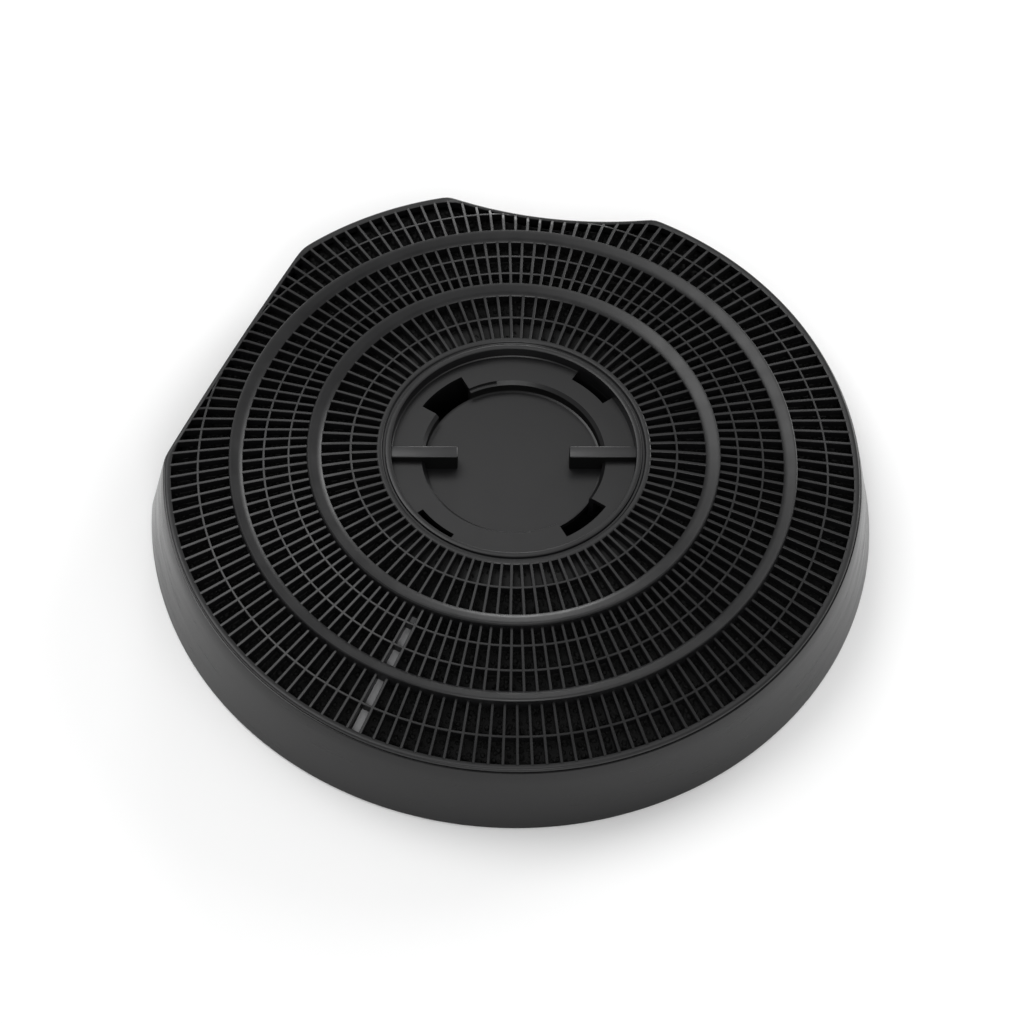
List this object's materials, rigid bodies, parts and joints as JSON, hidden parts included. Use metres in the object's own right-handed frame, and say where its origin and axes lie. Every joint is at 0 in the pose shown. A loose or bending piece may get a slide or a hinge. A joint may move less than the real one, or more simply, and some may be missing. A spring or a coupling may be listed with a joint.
{
  "type": "cooker hood carbon filter",
  "caption": "Round activated carbon filter for a cooker hood: a black moulded tray with a domed slotted grille and a bayonet hub with two finger bars.",
  "frame": {"origin": "on the hub axis, in the plane of the base that faces the hood's motor", "axes": "+Z along the hub axis, out of the domed front grille towards the cook; +X along the two finger bars of the hub, with the straight chord of the outline in the direction 152.6 degrees from +X and the round notch at 82.2 degrees"},
  "size_m": [0.24, 0.2378, 0.0399],
  "materials": {
    "housing_plastic": "satin moulded black",
    "grille_plastic": "satin moulded black",
    "carbon": "rough granular"
  },
  "bodies": {
    "root": {"filter_housing": "housing_plastic", "front_grille": "grille_plastic", "carbon_granules": "carbon"}
  },
  "joints": []
}
